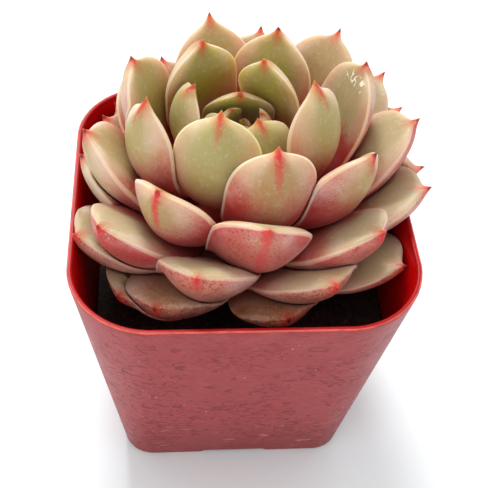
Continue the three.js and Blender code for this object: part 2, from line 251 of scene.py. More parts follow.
# The stage, in metres: each light's place, the height it is aimed at and its width, and the camera
LIGHTS = {
    "key": ((-0.08, 0.5, 0.62), 0.03, 0.22),
    "top": ((0, 0.25, 0.9), 0.03, 0.9),
    "front": ((-0.42, -0.38, 0.36), 0.04, 0.5),
}
CAMERA_PLACE = (-0.01205, -0.10093, 0.15641)
CAMERA_BACK, CAMERA_RIGHT = (-0.0825, -0.6447, 0.76), (0.99654, -0.06098, 0.05642)
CAMERA_LENS, CAMERA_SENSOR = 65.93, 36  # millimetres


def by_age(table, age):
    """The value at an age, in line with the two nearest ages of the table."""
    pairs = list(table.items())
    last = len(pairs) - 1
    upper = next((k for k in range(1, last) if pairs[k][0] >= age), last)
    (young_age, young), (old_age, old) = pairs[upper - 1], pairs[upper]
    return young + (old - young) * (age - young_age) / (old_age - young_age)


def smoothstep(value, low, high):
    share = min(1, max(0, (value - low) / (high - low)))
    return share * share * (3 - 2 * share)


def lerp(low, high, share):
    return low + (high - low) * share


# Modelling by hand: rings of rounded squares, bridged in edit mode


class Loft:
    """One mesh in edit mode, made of rings that are bridged one to the next."""

    def __init__(self, name, corner_points, side_cuts):
        self.piece = bpy.data.objects.new(name, bpy.data.meshes.new(name))
        bpy.context.scene.collection.objects.link(self.piece)
        make_active(self.piece)
        bpy.ops.object.mode_set(mode="EDIT")
        bpy.ops.mesh.select_mode(type="VERT")
        self.corner_points = corner_points
        self.side_cuts = side_cuts
        self.rings = []

    def bm(self):
        made = bmesh.from_edit_mesh(self.piece.data)
        made.verts.ensure_lookup_table()
        return made

    def select(self, wanted):
        """Selects the vertices that a test takes, and no others."""
        bpy.ops.mesh.select_all(action="DESELECT")
        bm = self.bm()
        for vert in bm.verts:
            if wanted(vert):
                vert.select_set(True)
        bm.select_flush(True)
        bmesh.update_edit_mesh(self.piece.data)

    def ring(self, half, corner, height, middle=(0, 0)):
        """Adds a rounded square, in millimetres: a circle whose quarters are moved apart."""
        before = len(self.bm().verts)
        points = 4 * self.corner_points
        bpy.ops.mesh.select_all(action="DESELECT")
        bpy.ops.mesh.primitive_circle_add(
            vertices=points,
            radius=corner * MM,
            location=(0, 0, height * MM),
            rotation=(0, 0, math.pi / points),
        )
        apart = (half - corner) * MM
        for x, y in ((1, 1), (-1, 1), (-1, -1), (1, -1)):
            self.select(lambda v: v.index >= before and v.co.x * x > 0 and v.co.y * y > 0)
            bpy.ops.transform.translate(value=(x * apart, y * apart, 0))
        self.select(lambda v: v.index >= before)
        if self.side_cuts:
            bpy.ops.mesh.select_mode(type="EDGE")
            bm = self.bm()
            for edge in bm.edges:
                crosses = any(edge.verts[0].co[k] * edge.verts[1].co[k] < 0 for k in (0, 1))
                edge.select_set(crosses and min(v.index for v in edge.verts) >= before)
            bmesh.update_edit_mesh(self.piece.data)
            bpy.ops.mesh.subdivide(number_cuts=self.side_cuts)
            bpy.ops.mesh.select_mode(type="VERT")
        self.select(lambda v: v.index >= before)
        bpy.ops.transform.translate(value=(middle[0] * MM, middle[1] * MM, 0))
        self.rings.append((before, len(self.bm().verts)))

    def bridge(self, cuts=0):
        """Joins the last two rings by a wall with that many rings between."""
        (a, b), (c, d) = self.rings[-2:]
        self.select(lambda v: a <= v.index < b or c <= v.index < d)
        bpy.ops.mesh.bridge_edge_loops(number_cuts=cuts, interpolation="LINEAR")

    def lift(self, height):
        """Moves the last ring up by that many millimetres."""
        a, b = self.rings[-1]
        self.select(lambda v: a <= v.index < b)
        bpy.ops.transform.translate(value=(0, 0, height * MM))

    def cap(self):
        """Closes the last ring with a face."""
        a, b = self.rings[-1]
        self.select(lambda v: a <= v.index < b)
        bpy.ops.mesh.edge_face_add()

    def done(self):
        bpy.ops.mesh.select_all(action="SELECT")
        bpy.ops.mesh.normals_make_consistent(inside=False)
        bpy.ops.object.mode_set(mode="OBJECT")
        return self.piece

    def round_edges(self, height, width, segments):
        """Bevels the finished piece's sharp edges at a height, in millimetres."""
        bpy.ops.object.mode_set(mode="EDIT")
        bpy.ops.mesh.select_mode(type="VERT")
        self.select(lambda v: abs(v.co.z / MM - height) < 0.01)
        bpy.ops.mesh.select_mode(type="EDGE")
        bm = self.bm()
        for edge in bm.edges:
            joins = edge.select and len(edge.link_faces) == 2
            edge.select_set(joins and edge.calc_face_angle(0) > SHARP_TURN)
        bmesh.update_edit_mesh(self.piece.data)
        bpy.ops.mesh.bevel(offset=width * MM, segments=segments)
        bpy.ops.object.mode_set(mode="OBJECT")


def make_active(piece):
    bpy.ops.object.select_all(action="DESELECT")
    bpy.context.view_layer.objects.active = piece
    piece.select_set(True)


def apply_modifier(piece, name, kind, **settings):
    make_active(piece)
    modifier = piece.modifiers.new(name, kind)
    for key, value in settings.items():
        setattr(modifier, key, value)
    bpy.ops.object.modifier_apply(modifier=name)


def cut_away(piece, cutters):
    for cutter in cutters:
        apply_modifier(piece, "cut", "BOOLEAN", object=cutter, operation="DIFFERENCE", solver="EXACT")
    for cutter in cutters:
        bpy.data.objects.remove(cutter)


def smooth(piece, degrees):
    make_active(piece)
    bpy.ops.object.shade_smooth_by_angle(angle=math.radians(degrees))


def hand_over(piece, body, slot, *nodes):
    """The piece rides on its body and stands for its nodes. The slot is not used."""
    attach(piece, body)
    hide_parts(*nodes)


# Shader maths, written as expressions


def maths(operation):
    """A method that adds a Math node for two values."""
    return lambda value, other: value.shader.math(operation, value, other)


class Value:
    """A socket's value. Operators on it add Math nodes."""

    __add__ = __radd__ = maths("ADD")
    __mul__ = __rmul__ = maths("MULTIPLY")
    __sub__ = maths("SUBTRACT")
    __truediv__ = maths("DIVIDE")
    __lt__ = maths("LESS_THAN")

    def __init__(self, shader, socket):
        self.shader, self.socket = shader, socket

    def __rsub__(self, other):
        return self.shader.math("SUBTRACT", other, self)

    def __abs__(self):
        return self.shader.math("ABSOLUTE", self)


class Shader:
    """A material whose nodes are added by calls and whose colour is painted in layers."""

    def __init__(self, name, colour, **constants):
        self.material = bpy.data.materials.new(name)
        self.material.use_nodes = True
        self.nodes = self.material.node_tree.nodes
        self.links = self.material.node_tree.links
        self.surface = self.nodes["Principled BSDF"]
        self.colour = colour
        for key, value in constants.items():
            self.surface.inputs[key.replace("_", " ")].default_value = value
        self.place = self.node("ShaderNodeTexCoord").outputs["Object"]

    def feed(self, socket, value):
        if isinstance(value, Value):
            value = value.socket
        if isinstance(value, bpy.types.NodeSocket):
            self.links.new(value, socket)
        elif socket.type == "RGBA" and len(value) == 3:
            socket.default_value = (*value, 1)
        else:
            socket.default_value = value

    def node(self, kind, settings=(), sockets=()):
        """Adds a node, makes its settings and then feeds its sockets."""
        made = self.nodes.new(kind)
        for key, value in dict(settings).items():
            setattr(made, key, value)
        for key, value in dict(sockets).items():
            self.feed(made.inputs[key], value)
        return made

    def math(self, operation, *values):
        made = self.node("ShaderNodeMath", {"operation": operation}, enumerate(values))
        return Value(self, made.outputs[0])

    def attribute(self, name):
        made = self.node("ShaderNodeAttribute", {"attribute_name": name})
        return Value(self, made.outputs["Fac"])

    def axis(self, name):
        made = self.node("ShaderNodeSeparateXYZ", (), {0: self.place})
        return Value(self, made.outputs[name])

    def vector(self, x, y, z):
        return self.node("ShaderNodeCombineXYZ", (), {0: x, 1: y, 2: z}).outputs[0]

    def stretched(self, x, y, z):
        sockets = {"Vector": self.place, "Scale": (x, y, z)}
        return self.node("ShaderNodeMapping", (), sockets).outputs[0]

    def grain(self, size, detail, vector=None, rough=0.5, twist=0.0):
        """Noise from 0 to 1. Its lumps have that size, in millimetres or in the vector's unit."""
        sockets = {
            "Vector": vector or self.place,
            "Scale": 1 / size if vector else 1 / (size * MM),
            "Detail": detail,
            "Roughness": rough,
            "Distortion": twist,
        }
        return Value(self, self.node("ShaderNodeTexNoise", (), sockets).outputs[0])

    def cells(self, size, vector=None):
        """Distance to the nearest of scattered points that lie about that size apart."""
        scale = 1 / size if vector else 1 / (size * MM)
        sockets = {"Vector": vector or self.place, "Scale": scale}
        return Value(self, self.node("ShaderNodeTexVoronoi", (), sockets).outputs["Distance"])

    def rise(self, value, low, high):
        """A smooth step from 0 at low to 1 at high, or down from 1 where low is the larger."""
        sockets = {"Value": value, "From Min": min(low, high), "From Max": max(low, high)}
        made = self.node("ShaderNodeMapRange", {"interpolation_type": "SMOOTHSTEP"}, sockets)
        share = Value(self, made.outputs[0])
        return share if low <= high else 1 - share

    def mix(self, factor, low, high):
        settings = {"data_type": "RGBA", "clamp_factor": True}
        made = self.node("ShaderNodeMix", settings, {0: factor, 6: low, 7: high})
        return made.outputs[2]

    def paint(self, mask, colour):
        """Lays a colour over those so far, where the mask is 1."""
        self.colour = self.mix(mask, self.colour, colour)

    def relief(self, *layers):
        """Bump from layers of (height, millimetres), fed to the surface's normal."""
        normal = None
        for height, depth in layers:
            sockets = {"Height": height, "Distance": depth * MM, "Strength": 1.0}
            if normal is not None:
                sockets["Normal"] = normal
            normal = self.node("ShaderNodeBump", (), sockets).outputs[0]
        self.links.new(normal, self.surface.inputs["Normal"])

    def finish(self, roughness):
        self.feed(self.surface.inputs["Base Color"], self.colour)
        self.feed(self.surface.inputs["Roughness"], roughness)
        return self.material


# Settings that a user would change


class PotSettings(bpy.types.PropertyGroup):
    height: length("Height", "Of the rim above the table", 50)
    top_half: length("Rim half width", "Middle to side", 27.5)
    top_corner: length("Rim corner", "Radius", 13)
    base_half: length("Base half width", "Middle to side", 20.5)
    base_corner: length("Base corner", "Radius", 5.4)
    wall: length("Wall", "Thickness of the sides", 0.9)
    outside: colour("Outside", "Plastic outside, dulled by use", 154, 39, 43)
    scuffed: colour("Scuffs", "Where the plastic is rubbed pale", 188, 86, 86)
    # Painted shade: in the small dents, low on the sides and on the rim's top
    painted_shade: colour("Dents", "In small dents and low on the sides", 130, 16, 22)
    # Dust also gives the outside its tiny painted glints
    dust: colour("Dust", "Specks and dried water", 226, 176, 170)
    inside: colour("Inside", "Plastic inside the pot", 196, 6, 10)
    # Lip: a painted highlight along the rim's outer edge
    lip: colour("Lip", "Rubbed edge of the rim", 226, 96, 84)


class SoilSettings(bpy.types.PropertyGroup):
    seed: IntProperty(name="Seed", description="Of the lumps", default=7)
    crumbs: IntProperty(name="Crumbs", description="Loose crumbs on the soil", default=90, min=0)
    dark: colour("Peat", "Damp peat", 34, 22, 20)
    pale: colour("Bark", "Dry bits of bark", 96, 66, 46)


class LeafSettings(bpy.types.PropertyGroup):
    green: colour("Green", "Flesh of the young leaves", 178, 169, 108)
    tan: colour("Tan", "Flesh of the old leaves", 184, 148, 96)
    olive: colour("Olive", "Hollow faces and fibres", 186, 186, 66)
    # Honey: painted warm shade and glow low in the hollows
    honey_shade: colour("Honey", "Low on the hollow faces", 172, 116, 26)
    wax: colour("Wax", "Hollow faces of the outer leaves", 184, 172, 138)
    # Moss is also painted shade low in the bud's hollows
    moss: colour("Moss", "Flecks on the hollow faces", 112, 104, 66)
    cream: colour("Cream", "Flesh towards the edges", 218, 188, 154)
    blush: colour("Blush", "Rose of the lower outer faces", 202, 100, 102)
    # Deep blush: the foot's own crimson, made stronger as a painted glow in the shaded gaps
    deep: colour("Deep blush", "At the very foot", 190, 34, 32)
    freckle: colour("Freckle", "Small spots in the blush", 140, 40, 44)
    rust: colour("Rust", "Old skin of the lowest leaves", 166, 98, 56)
    crust: colour("Crust", "Rough spots on the old skin", 92, 26, 20)
    tip: colour("Tip", "Red of the tip and its streak", 206, 36, 48)
    spine: colour("Spine", "Dry point of the tip", 54, 28, 28)
    # Pale edge, partly own colour and partly painted highlight, and the painted glints by old tips
    margin: colour("Margin", "Thin pale edge", 240, 208, 186)
    scar: colour("Scar", "Dry scratch on one leaf", 255, 250, 238)
    bloom: colour("Bloom", "Film of wax on the skin", 234, 222, 210)


class StageSettings(bpy.types.PropertyGroup):
    floor: colour("Floor", "Pale surface under the pot", 240, 247, 249)
    key: power("Key light", "Power of the main light", 4.0)
    top: power("Top light", "Power of the broad light above", 1.7)
    front: power("Front light", "Power of the soft front light", 0.8)
    sky: FloatProperty(name="Sky", description="Strength of the light all round", default=0.76)


class EcheveriaSettings(bpy.types.PropertyGroup):
    pot: PointerProperty(type=PotSettings, name="Pot", description="Size and plastics")
    soil: PointerProperty(type=SoilSettings, name="Soil", description="Crumbs and peat")
    leaves: PointerProperty(type=LeafSettings, name="Leaves", description="Colours of the skin")
    stage: PointerProperty(type=StageSettings, name="Stage", description="Floor and lights")


# Pot


def pot_ring(loft, pot, height, inset, at=None):
    """A ring of the pot's side at a height, moved inwards, all in millimetres."""
    share = height * MM / pot.height
    half = lerp(pot.base_half, pot.top_half, share) / MM
    corner = lerp(pot.base_corner, pot.top_corner, share) / MM
    loft.ring(half - inset, corner - inset, height if at is None else at)


def channel_cutter(turn):
    """A bar with slanted sides, which cuts the channel under one side of the pot."""
    bpy.ops.mesh.primitive_cube_add(
        size=1,
        location=(0, -(CHANNEL_INNER_END + CHANNEL_LENGTH / 2) * MM, 0),
        scale=(CHANNEL_ROOF * MM, CHANNEL_LENGTH * MM, 2 * CHANNEL_DEPTH * MM),
    )
    cutter = bpy.context.object
    bpy.ops.object.transform_apply()
    spread = (CHANNEL_MOUTH - CHANNEL_ROOF) * MM
    for vert in cutter.data.vertices:
        if vert.co.z < 0:
            vert.co.x += math.copysign(spread, vert.co.x)
    cutter.data.transform(Matrix.Rotation(turn, 4, "Z"))
    return cutter


def drain_cutter(turn):
    bpy.ops.mesh.primitive_cylinder_add(
        vertices=32,
        radius=DRAIN_RADIUS * MM,
        depth=4 * POT_FLOOR * MM,
        location=(0, -DRAIN_FROM_CENTRE * MM, 0),
    )
    bpy.ops.object.transform_apply()
    cutter = bpy.context.object
    cutter.data.transform(Matrix.Rotation(turn, 4, "Z"))
    return cutter


def outside_plastic(pot):
    """Moulded plastic, dull from handling: winding dents, pale scuffs, dust and water marks, with
    painted shade in the dents and low on the sides, and painted glints.
    """
    s = Shader("pot_outside", pot.outside, IOR=1.46)
    height = s.axis("Z") / pot.height
    broad, lumps = s.grain(13, 3), s.grain(2.6, 3, rough=0.6)
    used = s.rise(height, 1.0, 0.8) * s.rise(height, 0.0, 0.08)
    lying = s.stretched(1, 1, 1.6)
    apart = s.cells(0.0042, vector=lying) + 0.5 * (lumps - 0.5)
    dents = s.rise(abs(apart - 0.3), 0.1, 0.03) * s.rise(s.grain(2.3, 2), 0.47, 0.57)
    short = abs(s.grain(0.0024, 1, vector=lying, twist=0.4) - 0.5)
    nicks = s.rise(short, 0.07, 0.02) * s.rise(lumps, 0.5, 0.62)
    spots = s.rise(s.grain(0.0011, 1, vector=lying), 0.57, 0.63) * s.rise(broad, 0.36, 0.56)
    scuffs = s.rise(s.grain(0.0016, 2, vector=s.stretched(1, 1, 4)), 0.66, 0.78)
    stains = s.rise(s.grain(0.0035, 2, vector=s.stretched(1, 1, 5)), 0.64, 0.7)
    s.paint(s.rise(lumps, 0.3, 0.75) * 0.3, pot.scuffed)
    # Painted shade: the lower sides darker red
    s.paint(s.rise(height, 0.4, 0.0) * 0.75, pot.painted_shade)
    # Painted shade: darker red in the dents, nicks and spots, which are also sunk in the relief
    s.paint((dents * 0.9 + nicks * 0.65 + spots * 0.75) * used, pot.painted_shade)
    s.paint(scuffs * used * 0.6, pot.scuffed)
    s.paint(stains * s.rise(height, 0.4, 0.1) * 0.45, pot.dust)
    # Painted glints: tiny pale dots
    s.paint((s.cells(3.4) < 0.045) * 0.8, pot.dust)
    s.relief((dents + spots + 0.5 * nicks, -0.08), (lumps, 0.14), (s.grain(0.7, 3), 0.02))
    return s.finish(0.34 + 0.2 * broad + 0.15 * scuffs)


def inside_plastic(pot):
    """Brighter plastic, with painted shade that darkens it towards the soil and on the rim's top,
    and some dust.
    """
    s = Shader("pot_inside", pot.inside, IOR=1.46, Specular_IOR_Level=0.15)
    height = s.axis("Z") / pot.height
    dust = s.rise(s.grain(2.2, 3), 0.55, 0.8) * s.rise(height, 0.95, 0.7)
    # Painted shade: the inner wall darker below the rim
    s.paint(s.rise(height, 0.97, 0.55) * 0.75, srgb(110, 8, 10))
    # Painted shade on the rim's top
    s.paint(s.rise(height, 0.985, 0.995) * 0.6, pot.painted_shade)
    s.paint(dust * 0.35, srgb(70, 30, 24))
    s.relief((s.grain(1.6, 3), 0.03))
    return s.finish(0.34 + 0.3 * dust)


def lip_highlight_plastic(pot):
    """The rim's outer edge, a painted highlight that the outside's colour breaks in patches."""
    s = Shader("pot_lip", pot.lip, IOR=1.46)
    patchy = s.grain(2.5, 3)
    # Painted highlight, broken in patches by the outside's colour
    s.paint(s.rise(patchy, 0.4, 0.7) * 0.6, pot.outside)
    s.relief((s.grain(0.9, 2), 0.02))
    return s.finish(0.26 + 0.2 * patchy)


def pot_shell(pot):
    """Underside, outer wall, rim, inner wall and floor, ring by ring."""
    height, wall = pot.height / MM, pot.wall / MM
    loft = Loft("nursery_pot", corner_points=14, side_cuts=11)
    pot_ring(loft, pot, 0, POT_BASE_BEVEL)
    loft.cap()
    pot_ring(loft, pot, POT_BASE_BEVEL, 0)
    loft.bridge()
    pot_ring(loft, pot, height, 0)
    loft.bridge(cuts=30)
    pot_ring(loft, pot, height, wall, at=height - BRIDGE_APART)
    loft.bridge()
    loft.lift(BRIDGE_APART)
    pot_ring(loft, pot, POT_FLOOR, wall)
    loft.bridge(cuts=12)
    loft.cap()
    piece = loft.done()
    loft.round_edges(height, LIP_ROUNDING, segments=3)
    loft.round_edges(0, BASE_ROUNDING, segments=2)
    return piece


def lay_plastics(piece, pot):
    """Gives each face the plastic of its place."""
    for material in (outside_plastic(pot), inside_plastic(pot), lip_highlight_plastic(pot)):
        piece.data.materials.append(material)
    for face in piece.data.polygons:
        at = face.center / MM
        inward = face.normal.x * at.x + face.normal.y * at.y < 0
        inner = inward or face.normal.z > 0.9
        if at.z > pot.height / MM - LIP_BAND:
            on_outer_edge = not inward and 0.5 < face.normal.z < 0.98
            face.material_index = LIP if on_outer_edge else INSIDE if inner else OUTSIDE
        elif inner and at.z > POT_FLOOR - 0.1:
            face.material_index = INSIDE


class ECHEVERIA_OT_pot(bpy.types.Operator):
    """Models the square nursery pot with its rounded lip, channels and drain holes"""

    bl_idname = "echeveria.pot"
    bl_label = "Pot"

    def execute(self, context):
        pot = context.scene.echeveria.pot
        piece = pot_shell(pot)
        turns = [side * math.pi / 2 for side in range(4)]
        cut_away(piece, [cutter(turn) for cutter in (channel_cutter, drain_cutter) for turn in turns])
        lay_plastics(piece, pot)
        smooth(piece, 35)
        hand_over(piece, "root", "pot", "pot")
        return {"FINISHED"}


# Soil


def soil_material(soil):
    """Damp peat with paler fibres and bits of bark."""
    s = Shader("potting_soil", soil.dark)
    fine, broad = s.grain(0.7, 6, rough=0.7), s.grain(4, 3)
    bits = s.rise(s.cells(1.6), 0.3, 0.15) * s.rise(s.grain(2.4, 2), 0.5, 0.65)
    s.paint(s.rise(fine, 0.45, 0.75) * 0.5, soil.pale)
    s.paint(bits * 0.7, soil.pale)
    s.relief((fine, 0.35), (broad, 0.4))
    return s.finish(0.78 + 0.2 * broad)


def soil_fill(pot):
    """Fills the pot up to the soil's top, with a hole for the stem."""
    inset = pot.wall / MM + SOIL_GAP
    loft = Loft("potting_soil", corner_points=8, side_cuts=7)
    pot_ring(loft, pot, POT_FLOOR + 0.3, inset)
    loft.cap()
    pot_ring(loft, pot, SOIL_TOP - WALL_SAG, inset)
    loft.bridge(cuts=6)
    loft.ring(HOLE_HALF, HOLE_CORNER, SOIL_TOP - STEM_SAG, CROWN)
    loft.bridge(cuts=26)
    loft.ring(HOLE_HALF, HOLE_CORNER, STEM_FOOT - HOLE_BELOW_STEM, CROWN)
    loft.bridge(cuts=2)
    loft.cap()
    return loft.done()


def raise_lumps(piece, draw):
    """Makes the soil's top uneven, but not close to the stem."""
    shift = Vector((draw.random(), draw.random(), draw.random())) * 9
    for vert in piece.data.vertices:
        at = vert.co / MM
        from_stem = Vector((at.x - CROWN_X, at.y - CROWN_Y)).length
        if at.z > SOIL_TOP - 1 and from_stem > LUMPS_FROM_STEM:
            lump = noise.fractal(at * 0.55 + shift, 0.6, 2.2, 4)
            vert.co.z += max(-LUMP_DEEP, min(LUMP_HIGH, 0.8 * lump)) * MM


def soil_crumb(draw):
    """A bit of bark or peat: one lump, turned and scaled by chance."""
    angle, reach = draw.random() * 2 * math.pi, math.sqrt(draw.uniform(0.12, 1)) * CRUMB_REACH
    x, y = reach * math.cos(angle), reach * math.sin(angle)
    size = draw.uniform(SMALLEST_CRUMB, LARGEST_CRUMB)
    bpy.ops.mesh.primitive_ico_sphere_add(subdivisions=2, radius=size * MM)
    crumb = bpy.context.object
    for vert in crumb.data.vertices:
        vert.co *= 1 + 0.5 * noise.noise(vert.co / MM * 1.7 + Vector((x, y, 0)))
    stretch = Matrix.Diagonal((draw.uniform(0.8, 1.7), 1, draw.uniform(0.5, 0.9), 1))
    turn = Matrix.Rotation(draw.random() * math.pi, 4, "Z")
    lift = Matrix.Translation(Vector((x, y, SOIL_TOP + 0.1)) * MM)
    crumb.data.transform(lift @ turn @ stretch)
    return crumb


class ECHEVERIA_OT_soil(bpy.types.Operator):
    """Models the lumpy potting soil around the stem, with loose crumbs on it"""

    bl_idname = "echeveria.soil"
    bl_label = "Soil"

    def execute(self, context):
        settings = context.scene.echeveria
        draw = random.Random(settings.soil.seed)
        piece = soil_fill(settings.pot)
        raise_lumps(piece, draw)
        crumbs = [soil_crumb(draw) for _ in range(settings.soil.crumbs)]
        make_active(piece)
        for crumb in crumbs:
            crumb.select_set(True)
        bpy.ops.object.join()
        piece.data.materials.append(soil_material(settings.soil))
        smooth(piece, 50)
        hand_over(piece, "root", "soil", "soil")
        return {"FINISHED"}


# Stem


def stem_radius(height):
    share = min(1, max(0, (height - STEM_SHOULDER) / (STEM_TOP - STEM_SHOULDER)))
    return STEM_RADIUS + (STEM_TOP_RADIUS - STEM_RADIUS) * share * share


def stem_material():
    """Woody below, green and soft towards the bud."""
    s = Shader("stem_skin", srgb(92, 62, 44))
    rough = s.grain(1.4, 5)
    s.paint(s.rise(rough, 0.35, 0.7), srgb(150, 116, 84))
    s.paint(s.rise(s.axis("Z") / MM, 40, 50), srgb(150, 150, 84))
    s.relief((rough, 0.3))
    return s.finish(0.6 + 0.25 * rough)


class ECHEVERIA_OT_stem(bpy.types.Operator):
    """Models the short stem that carries the leaves"""

    bl_idname = "echeveria.stem"
    bl_label = "Stem"

    def execute(self, context):
        loft = Loft("short_stem", corner_points=8, side_cuts=0)
        heights = [STEM_FOOT, STEM_FOOT + 1, 30, 36, STEM_SHOULDER]
        heights += [lerp(STEM_SHOULDER, STEM_TOP, step / 6) for step in range(1, 7)]
        for number, height in enumerate(heights):
            radius = stem_radius(height) - (0.5 if number == 0 else 0.02)
            loft.ring(radius, radius - 0.001, height, CROWN)
            if number == 0:
                loft.cap()
            else:
                loft.bridge(cuts=3)
        loft.cap()
        piece = loft.done()
        for vert in piece.data.vertices:
            at = vert.co / MM
            scar = 0.35 * abs(noise.noise(at * Vector((0.5, 0.5, 1.1))))
            if STEM_FOOT + 1 < at.z < STEM_SHOULDER:
                vert.co.x -= (at.x - CROWN_X) / STEM_RADIUS * scar * MM
                vert.co.y -= (at.y - CROWN_Y) / STEM_RADIUS * scar * MM
        piece.data.materials.append(stem_material())
        smooth(piece, 60)
        hand_over(piece, "root", "stem", "stem")
        return {"FINISHED"}


# Leaves


class LeafForm:
    """One leaf's place and form, in millimetres."""

    def __init__(self, age):
        lean = {**UPRIGHT, **LEANING.get(age, {})}
        foot_height = by_age(FOOT_HEIGHT, age)
        foot = Vector((stem_radius(foot_height) + STEM_GAP, foot_height))
        tip = Vector((by_age(TIP_REACH, age) + lean["reach"], by_age(TIP_HEIGHT, age) + lean["lift"]))
        handle = SPINE_HANDLE * (tip - foot).length
        rises = math.radians(by_age(FOOT_SLOPE, age) + lean["foot"])
        curls = math.radians(by_age(TIP_SLOPE, age) + lean["curl"])
        outward = Vector((math.cos(rises), math.sin(rises))) * handle
        upward = Vector((math.cos(curls), math.sin(curls))) * handle
        self.spine = [foot, foot + outward, tip - upward, tip]
        turn = math.radians(FIRST_TURN - GOLDEN_TURN * age + lean["turn"])
        self.out = Vector((math.cos(turn), math.sin(turn), 0))
        self.left = Vector((-math.sin(turn), math.cos(turn), 0))
        self.bend, self.roll = lean["bend"], math.radians(lean["roll"])
        self.width, self.thickness = by_age(LEAF_WIDTH, age) + lean["width"], by_age(LEAF_THICKNESS, age)
        self.fill, self.point = by_age(CUP_FILL, age), lean["point"]
        self.age = age

    def spine_at(self, u):
        """The spine's point and direction, by repeated halving of its handles."""
        level = self.spine
        while len(level) > 2:
            level = [a.lerp(b, u) for a, b in zip(level, level[1:])]
        return level[0].lerp(level[1], u), (level[1] - level[0]).normalized()

    def frame_at(self, u):
        """The middle of the section at u, its direction to the left edge and its upward one."""
        at, along = self.spine_at(u)
        up = self.out * -along.y + Vector((0, 0, along.x))
        middle = Vector((CROWN_X, CROWN_Y, at.y)) + self.out * at.x + self.left * self.bend * u * u
        turn = self.roll * u
        aside = self.left * math.cos(turn) + up * math.sin(turn)
        above = up * math.cos(turn) - self.left * math.sin(turn)
        return middle, aside, above

    def half_width(self, u):
        neck = NECK_WIDTH + (1 - NECK_WIDTH) * smoothstep(u, 0, NECK_END)
        down = min(1, max(0, (u - ARCH_START) / ARCH_LENGTH))
        arch = neck * (1 - down**ARCH_POWER) ** ((1 + self.point) / 2)
        left = max(0, 1 - u) / MUCRO_LENGTH
        spine = MUCRO_WIDTH * left**MUCRO_POWER if left < 1 else 0
        return self.width / 2 * (arch**4 + spine**4) ** 0.25

    def depth(self, u, half):
        body = FOOT_THICKNESS + (1 - FOOT_THICKNESS) * smoothstep(u, 0, THICKEST)
        deep = self.thickness * body * max(0, 1 - u**TIP_POWER) ** 0.8
        round_tip = 1.9 * half + 0.01
        return deep * round_tip / (deep**4 + round_tip**4) ** 0.25

    def section(self, u, x):
        """Heights of the upper and the lower skin at x, from -1 to 1 across."""
        half = self.half_width(u)
        deep = self.depth(u, half)
        side = abs(x)
        cup = 2 * CUP_DEPTH * half * smoothstep(u, CUP_START, CUP_END)
        hollow = cup * x * x - EDGE_DROP * deep * side**6
        flesh = cup * self.fill * (1 - x * x)
        ridge = KEEL_RIDGE * (1 - math.sqrt(x * x + 0.01)) / 0.9
        keel = deep * (max(0, 1 - side**2.2) ** 0.65 + max(0, ridge))
        return hollow + flesh, hollow - keel

    def ripple(self, point):
        """A slow unevenness of the skin."""
        return 0.16 * noise.noise(point * 0.16 + Vector((self.age * 3.1, 0, 0)))


def pressed(form, u, x, younger, rim):
    """The section's heights at x, given way to the leaves above and to the pot's rim below."""
    middle, aside, above = form.frame_at(u)
    upper, lower = form.section(u, x)
    line = middle + aside * form.half_width(u) * x
    swell = form.ripple(line) * smoothstep(u, 0.1, 0.4) * smoothstep(u, 0.98, 0.8)
    upper, lower = upper + swell, lower + swell
    thin = min(THINNEST, upper - lower)
    search = (upper - lower + RAY_REACH + CLEAR) * MM
    if younger:
        start = line + above * (lower - RAY_REACH)
        hit, _, _, far = younger.ray_cast(start * MM, above, search)
        if hit:
            upper = min(upper, lower - RAY_REACH + far / MM - CLEAR)
            lower = min(lower, upper - thin)
    start = line + above * (upper + RAY_REACH)
    search = (upper - lower + RAY_REACH + CLEAR) * MM
    hit, _, _, far = rim.ray_cast(start * MM, -above, search)
    if hit:
        limit = upper + RAY_REACH - far / MM + CLEAR
        if limit < upper + RIM_OVER:
            lower = max(lower, limit)
            upper = max(upper, lower + thin)
    return line + above * upper, line + above * lower


def leaf_mesh(name, form, younger, rim):
    """A sphere whose poles become foot and tip. No operator lays rings along a spine while they
    give way to other leaves, so each point is moved here."""
    bpy.ops.mesh.primitive_uv_sphere_add(segments=LEAF_AROUND, ring_count=LEAF_RINGS, radius=1)
    leaf = bpy.context.object
    leaf.name = leaf.data.name = name
    reach = (form.spine[3] - form.spine[0]).length
    values, placed = [], {}
    for vert in leaf.data.vertices:
        share = 1 - math.acos(max(-1, min(1, vert.co.z))) / math.pi
        u = 1 - (1 - share) ** TIP_CROWDING
        pole = math.hypot(vert.co.x, vert.co.y) < 1e-4
        angle = math.atan2(vert.co.y, vert.co.x)
        x = 0 if pole else math.cos(angle)
        key = (round(u, 5), round(x, 5))
        if key not in placed:
            placed[key] = pressed(form, u, x, younger, rim)
        top, bottom = placed[key]
        if pole or abs(x) > 0.9999:
            vert.co = (top + bottom) / 2 * MM
        else:
            vert.co = (top if angle > 0 else bottom) * MM
        outer = 1 if pole else 0.5 - 0.5 * max(-1, min(1, 3 * math.sin(angle)))
        values.append((u, x, outer, abs(x) * form.half_width(u), (1 - u) * reach))
    for attribute, numbers in zip(LEAF_VALUES, zip(*values)):
        leaf.data.attributes.new(attribute, "FLOAT", "POINT").data.foreach_set("value", numbers)
    return leaf


def drawn_out(s, across, along, detail):
    """Noise with so many lumps across and along the leaf, and other ones on each leaf."""
    place = s.vector(s.across * across + s.age, s.along * along, s.outer * 3)
    return s.grain(1, detail, vector=place)


